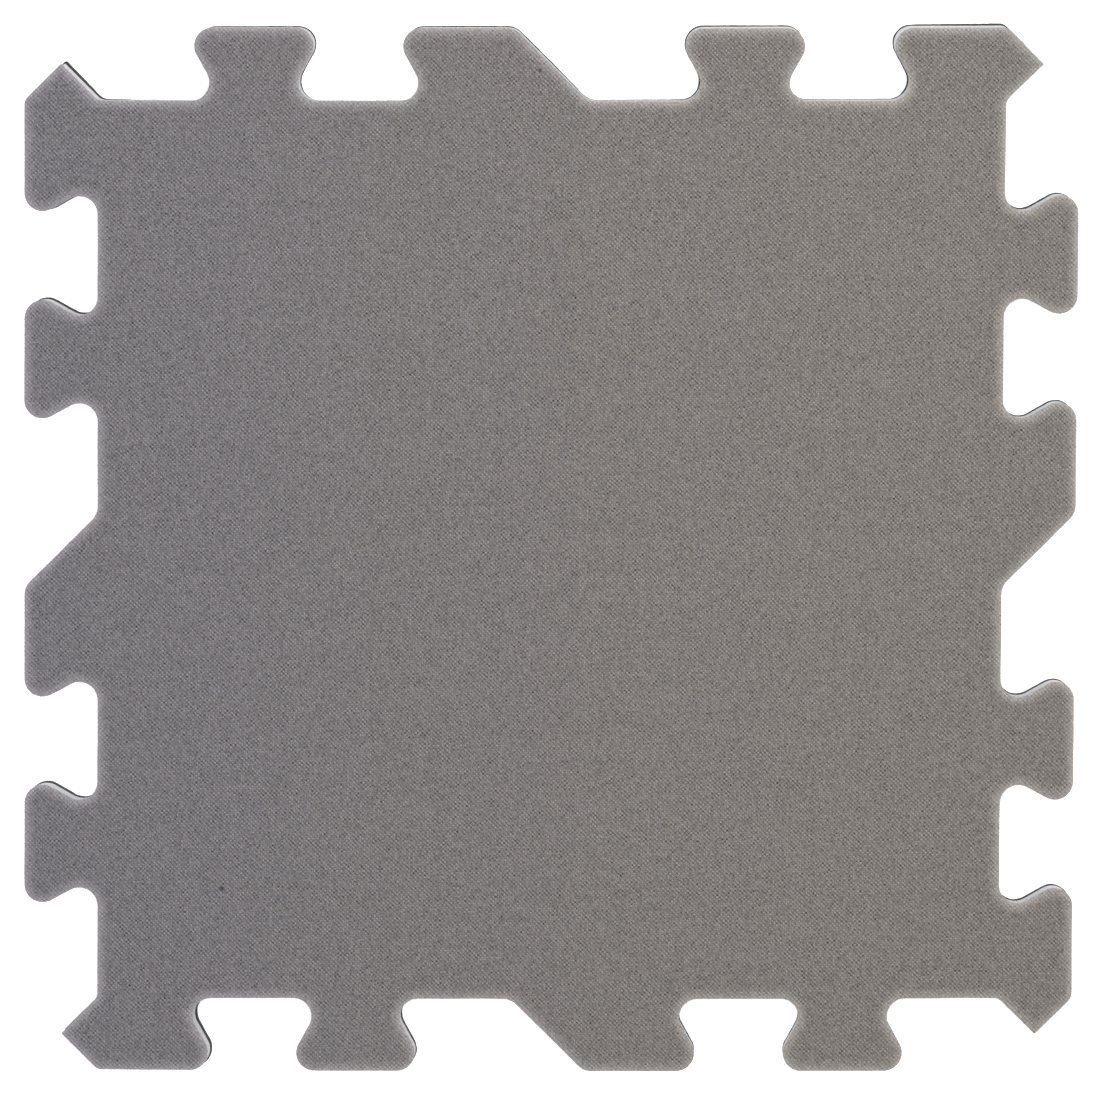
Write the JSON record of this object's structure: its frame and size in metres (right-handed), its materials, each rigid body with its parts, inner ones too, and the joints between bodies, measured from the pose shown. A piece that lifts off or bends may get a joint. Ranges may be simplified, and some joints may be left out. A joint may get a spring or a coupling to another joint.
{
  "type": "interlocking blocking mat",
  "caption": "Square cloth-faced foam mat for pinning out damp knitting, with die-cut dovetail tabs and sockets along every side so that identical mats lock together.",
  "frame": {"origin": "middle of the underside, on the floor that the mat lies on", "axes": "+Z out of the cloth face; X and Y along the sides of the square that the mat covers; all four sides are alike"},
  "size_m": [0.3276, 0.3276, 0.012],
  "materials": {
    "base_foam": "matt dense foam with a fine embossed skin",
    "base_adhesive_film": "satin, translucent white",
    "foam_core": "matt closed-cell foam, cut edge",
    "face_adhesive_film": "satin, translucent white",
    "face_fabric": "fine plain weave in heather grey yarn"
  },
  "bodies": {
    "root": {"base_foam": "base_foam", "base_adhesive_film": "base_adhesive_film", "foam_core": "foam_core", "face_adhesive_film": "face_adhesive_film", "face_fabric": "face_fabric"}
  },
  "joints": []
}
